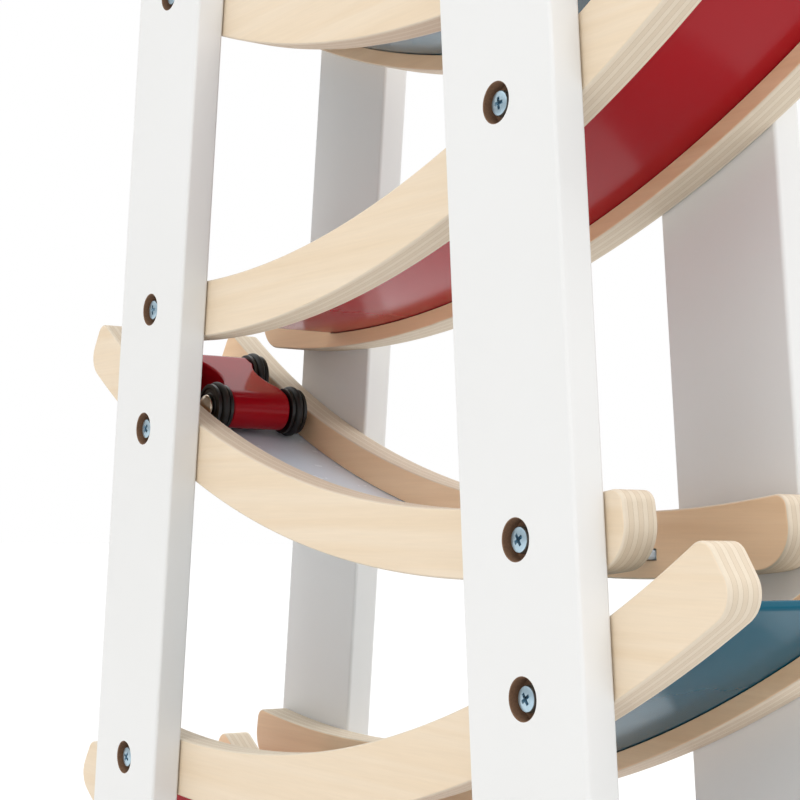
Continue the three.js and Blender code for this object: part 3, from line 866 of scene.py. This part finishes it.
def add_leg(face, side, finish, bare):
    name = f"leg_{face}_{side}"
    low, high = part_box(name)
    sign = {"front": -1, "back": 1}[face]
    outer = sign * max(abs(low.y), abs(high.y))
    middle = (low.y + high.y) / 2
    thickness = high.y - low.y
    edges = leg_edges(low, high, {"left": -1, "right": 1}[side])
    leg = new_piece(f"white_{name}", blank(name, edges, thickness / 2, LEG_ARRIS, middle))
    leg.data.materials.append(finish)
    wide, narrow = COUNTERBORE_DIAMETER / 2, HOLE_DIAMETER / 2
    drill_mesh = turned("counterbore", [
        (0, -thickness - DRILL_PAST), (narrow, -thickness - DRILL_PAST),
        (narrow, -COUNTERBORE_DEPTH), (wide, -COUNTERBORE_DEPTH), (wide, -MOUTH_CHAMFER),
        (wide + MOUTH_CHAMFER, 0), (wide + MOUTH_CHAMFER, DRILL_PAST), (0, DRILL_PAST)],
        segments=72)
    drill_mesh.materials.append(bare)
    about = Matrix.Rotation(math.pi if sign < 0 else 0, 4, "X")
    drills = []
    for number in RAMPS:
        centre = screw_centre(number, face, side)
        drills.append((drill_mesh, Matrix.Translation((centre.x, outer, centre.z)) @ about))
    for bar in (f"foot_bar_{side}", f"top_bar_{side}"):
        bar_low, bar_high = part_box(bar)
        tenon_end = sign * (bar_high.y + FIT)
        mouth = sign * (min(abs(low.y), abs(high.y)) - DRILL_PAST)
        size = Vector((bar_high.x - bar_low.x + 2 * FIT, abs(tenon_end - mouth),
                       bar_high.z - bar_low.z + 2 * FIT))
        spot = Vector(((bar_low.x + bar_high.x) / 2, (tenon_end + mouth) / 2,
                       (bar_low.z + bar_high.z) / 2))
        place = Matrix.Translation(spot) @ Matrix.Diagonal((*size, 1))
        drills.append((box_mesh("mortise"), place))
    drill(leg, drills)
    level_flats(leg)
    attach(leg, "tower", "white_lacquer", name)


def box_mesh(name):
    """A cube with sides of 1."""
    shape = bmesh.new()
    bmesh.ops.create_cube(shape, size=1)
    mesh = bpy.data.meshes.new(name)
    shape.to_mesh(mesh)
    shape.free()
    return mesh


def add_bar(name, finish):
    low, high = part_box(name)
    corners = [BAR_ARRIS * 1.5] * 4
    edges = strip_edges(low.x, high.x, -high.z, -low.z, corners)
    bar = new_piece(f"cross_{name}", blank(name, edges, (high.y - low.y) / 2, BAR_ARRIS))
    bar.data.materials.append(finish)
    settle(bar)
    level_flats(bar)
    attach(bar, "tower", "white_lacquer", name)


# ---- the car --------------------------------------------------------------------------------

FRONT_AXLE = Vector(JOINTS["front_wheel_spin"]["pos_m"])
REAR_AXLE = Vector(JOINTS["rear_wheel_spin"]["pos_m"])
AXLE_ARRIS = 0.3 * MM
HUB_ARRIS = 0.2 * MM
HUB_DISH = 0.45 * MM         # how deep a hub's outer face is dished
HUB_RIM = 1.4 * MM           # the flat ring outside the dish
HUB_BOSS = 0.4 * MM          # the flat ring that shows round the cap
HUB_SLOPE = 0.3 * MM         # of the dish's sides
CAP_SIDE = 0.5 * MM          # upright below the cap's dome
CAP_ARRIS = 0.15 * MM


def car_place():
    """The car's own axes: X towards its front, Y across, Z up from its wheels."""
    ahead = (FRONT_AXLE - REAR_AXLE).normalized()
    across = Vector((0, 1, 0))
    turn = Matrix((ahead, across, ahead.cross(across))).transposed().to_4x4()
    return Matrix.Translation((FRONT_AXLE + REAR_AXLE) / 2) @ turn


def add_car_body(finish):
    """A block with round ends about its axles, and a shallow waist cut in each side."""
    half = (FRONT_AXLE - REAR_AXLE).length / 2
    radius = BODY_HEIGHT / 2
    turns = np.linspace(0, math.pi / 2, 25)
    flat = np.linspace(-half, half, 61)
    waist_radius = ((BODY_WAIST_LENGTH / 2) ** 2 + BODY_WAIST**2) / (2 * BODY_WAIST)

    def edges(inset):
        small = radius - inset
        x = np.concatenate([-half - small * np.cos(turns), flat[1:-1],
                            half + small * np.sin(turns)])
        z = np.concatenate([small * np.sin(turns), np.full(len(flat) - 2, small),
                            small * np.cos(turns)])
        return np.column_stack([x, z]), np.column_stack([x, -z])

    x = np.abs(edges(0)[0][:, 0])
    in_waist = np.minimum(x, BODY_WAIST_LENGTH / 2)
    waist = np.sqrt(waist_radius**2 - in_waist**2) - (waist_radius - BODY_WAIST)
    body = new_piece("car_block", blank("car_block", edges, BODY_WIDTH / 2 - waist, BODY_ARRIS))
    body.data.materials.append(finish)
    bore = AXLE_DIAMETER / 2 + FIT
    bore_mesh = turned("axle_bore", [(0, -BODY_WIDTH), (bore, -BODY_WIDTH),
                                     (bore, BODY_WIDTH), (0, BODY_WIDTH)], segments=40)
    bore_mesh.materials.append(finish)
    drill(body, [(bore_mesh, Matrix.Translation((x, 0, 0))) for x in (-half, half)])
    body.data.transform(car_place())
    level_flats(body)
    attach(body, "car", "car_lacquer", "car_body")


def add_wheelset(end, axle, body, finishes):
    """An axle with a wheel and a domed cap at each end. A wheel is a spool with an O-ring on it."""
    low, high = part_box(f"car_{end}_axle")
    rod = AXLE_DIAMETER / 2
    length = high.y - low.y
    axle_rod = new_piece(f"axle_rod_{end}", turned("axle", rounded(
        [(0, -length / 2), (rod, -length / 2), (rod, length / 2), (0, length / 2)],
        AXLE_ARRIS), segments=40))
    pieces = [(axle_rod, Matrix.Translation(axle), "steel", "axle_steel", f"car_{end}_axle")]
    for face, sign in (("near", -1), ("far", 1)):
        about = Matrix.Rotation(math.pi if sign < 0 else 0, 4, "X")
        hub_low, hub_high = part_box(f"car_{end}_hub_{face}")
        width = hub_high.y - hub_low.y
        inner = min(abs(hub_low.y), abs(hub_high.y))
        bore, flange = AXLE_DIAMETER / 2 + FIT, FLANGE_DIAMETER / 2
        seat = TYRE_DIAMETER / 2 - TYRE_SECTION - FIT
        lip = (width - TYRE_SECTION) / 2 - FIT
        rim, boss = flange - HUB_RIM, CAP_DIAMETER / 2 + HUB_BOSS
        hub = new_piece(f"wheel_hub_{end}_{face}", turned("hub", rounded([
            (bore, 0), (flange, 0), (flange, lip), (seat, lip), (seat, width - lip),
            (flange, width - lip), (flange, width), (rim, width),
            (rim - HUB_SLOPE, width - HUB_DISH), (boss + HUB_SLOPE, width - HUB_DISH),
            (boss, width), (bore, width), (bore, 0)], HUB_ARRIS), segments=72))
        pieces.append((hub, Matrix.Translation((axle.x, sign * inner, axle.z)) @ about,
                       "plastic", "black_plastic", f"car_{end}_hub_{face}"))
        ring_radius = TYRE_SECTION / 2
        ring_middle = TYRE_DIAMETER / 2 - ring_radius
        round_turns = [2 * math.pi * i / 28 for i in range(29)]
        ring = new_piece(f"o_ring_{end}_{face}", turned("o_ring", [
            (ring_middle + ring_radius * math.cos(t), ring_radius * math.sin(t))
            for t in round_turns], segments=96))
        pieces.append((ring, Matrix.Translation((axle.x, sign * (inner + width / 2), axle.z)),
                       "rubber", "black_rubber", f"car_{end}_tyre_{face}"))
        cap_low, cap_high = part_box(f"car_{end}_cap_{face}")
        height = cap_high.y - cap_low.y
        cap_radius = CAP_DIAMETER / 2
        dome = [(cap_radius * math.cos(t), CAP_SIDE + (height - CAP_SIDE) * math.sin(t))
                for t in np.linspace(0, math.pi / 2, 14)]
        dome[-1] = (0, height)
        cap = new_piece(f"axle_cap_{end}_{face}", turned("cap", [
            (0, CAP_BORE), (bore, CAP_BORE), (bore, 0), (cap_radius - CAP_ARRIS, 0),
            (cap_radius, CAP_ARRIS)] + dome, segments=64))
        seat_y = sign * min(abs(cap_low.y), abs(cap_high.y))
        pieces.append((cap, Matrix.Translation((axle.x, seat_y, axle.z)) @ about,
                       "steel", "axle_steel", f"car_{end}_cap_{face}"))
    for piece, place, finish, slot, node in pieces:
        piece.data.transform(place)
        piece.data.materials.append(finishes[finish])
        settle(piece, crease=math.radians(40))
        attach(piece, body, slot, node)


# ---- the whole tower ------------------------------------------------------------------------


def build_tower():
    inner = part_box("ramp_1_rail_back")
    plywood = birch_plywood(inner[0].y, inner[1].y - inner[0].y)
    white = white_lacquer()
    bare = bored_wood()
    zinc = metal("zinc_plated_steel", "#BCD2DE", "#9DB6C4", 0.3, 0.25 * MM)
    floors = {
        "red_lacquer": lacquered("red_gloss_lacquer", "#A00D1A", "#940A15", 0.2, 0.12),
        "teal_lacquer": lacquered("teal_gloss_lacquer", "#10596F", "#0C4C5F", 0.2, 0.12),
        "pale_lacquer": lacquered("pale_blue_gloss_lacquer", "#E2F2FF", "#DAEBFB", 0.25, 0.12),
    }
    order = ["red_lacquer", "teal_lacquer", "pale_lacquer"]    # from the lowest ramp up
    bending = bending_tree()
    rails, sheets = rail_tree(bending), sheet_tree(bending)
    for number in RAMPS:
        slot = order[(number - 1) % len(order)]
        add_rails(number, rails, plywood)
        add_floor(number, sheets, floors[slot], slot)
    for face in ("front", "back"):
        for side in ("left", "right"):
            add_leg(face, side, white, bare)
    for name in ("foot_bar_left", "foot_bar_right", "top_bar_left", "top_bar_right"):
        add_bar(name, white)
    add_screws(screws_tree(), zinc)


def build_car():
    add_car_body(lacquered("car_red_high_gloss_lacquer", "#A61320", "#980D19", 0.1, 0.08))
    finishes = {
        "steel": metal("polished_steel", "#C9BAA8", "#B0A08E", 0.2, 0.2 * MM),
        "plastic": black_moulding("moulded_black_plastic", "#0D0C0B", "#1E1B19", 0.36, 0.3 * MM),
        "rubber": black_moulding("black_rubber_o_ring", "#0B0A09", "#201D1B", 0.5, 0.15 * MM),
    }
    add_wheelset("front", FRONT_AXLE, "front_wheelset", finishes)
    add_wheelset("rear", REAR_AXLE, "rear_wheelset", finishes)


# ---- studio ---------------------------------------------------------------------------------


def add_light(name, place, aim, size, power):
    lamp = bpy.data.lights.new(name, "AREA")
    lamp.shape = "DISK"
    lamp.size = size
    lamp.energy = power
    light = bpy.data.objects.new(name, lamp)
    light.location = place
    light.rotation_mode = "QUATERNION"
    light.rotation_quaternion = (Vector(aim) - Vector(place)).to_track_quat("-Z", "Y")
    bpy.context.scene.collection.objects.link(light)


HORIZON_LIGHT = 0.42         # the white room's own light, low down and overhead
ZENITH_LIGHT = 1.85
STUDIO_REACH = 20            # metres, from the middle of its floor to each edge
TOWER_MIDDLE = (0, 0, 0.25)


def build_studio():
    scene = bpy.context.scene
    scene.view_settings.view_transform = "Standard"
    scene.view_settings.look = "None"
    world = bpy.data.worlds.new("white_room")
    world.use_nodes = True
    tree = world.node_tree
    backdrop = tree.nodes["Background"]
    direction = add_node(tree, "ShaderNodeSeparateXYZ", inputs={
        0: add_node(tree, "ShaderNodeTexCoord").outputs["Object"]})
    dome = add_node(tree, "ShaderNodeMapRange", inputs={
        "Value": direction.outputs["Z"], 3: HORIZON_LIGHT, 4: ZENITH_LIGHT})
    room = add_node(tree, "ShaderNodeBackground", inputs={
        "Color": linear("#FFFFFF"), "Strength": dome.outputs[0]})
    backdrop.inputs["Color"].default_value = linear("#FFFFFF")
    seen = add_node(tree, "ShaderNodeMixShader", inputs={
        0: add_node(tree, "ShaderNodeLightPath").outputs["Is Camera Ray"],
        1: room.outputs[0], 2: backdrop.outputs[0]})
    tree.links.new(seen.outputs[0], tree.nodes["World Output"].inputs["Surface"])
    scene.world = world
    corners = [(x * STUDIO_REACH, y * STUDIO_REACH, 0)
               for x, y in ((-1, -1), (1, -1), (1, 1), (-1, 1))]
    floor = new_piece("studio_floor", mesh_of("studio_floor", corners, [(0, 1, 2, 3)]))
    paper, _, shader = new_material("matt_white_paper")
    shader.inputs["Base Color"].default_value = linear("#E6E6E6")
    shader.inputs["Roughness"].default_value = 0.9
    floor.data.materials.append(paper)
    add_light("key", place=(1.2, 0.35, 2.1), aim=TOWER_MIDDLE, size=0.9, power=10)
    add_light("fill", place=(0.1, -1.7, 1.5), aim=TOWER_MIDDLE, size=1.2, power=5)


build_tower()
build_car()
build_studio()
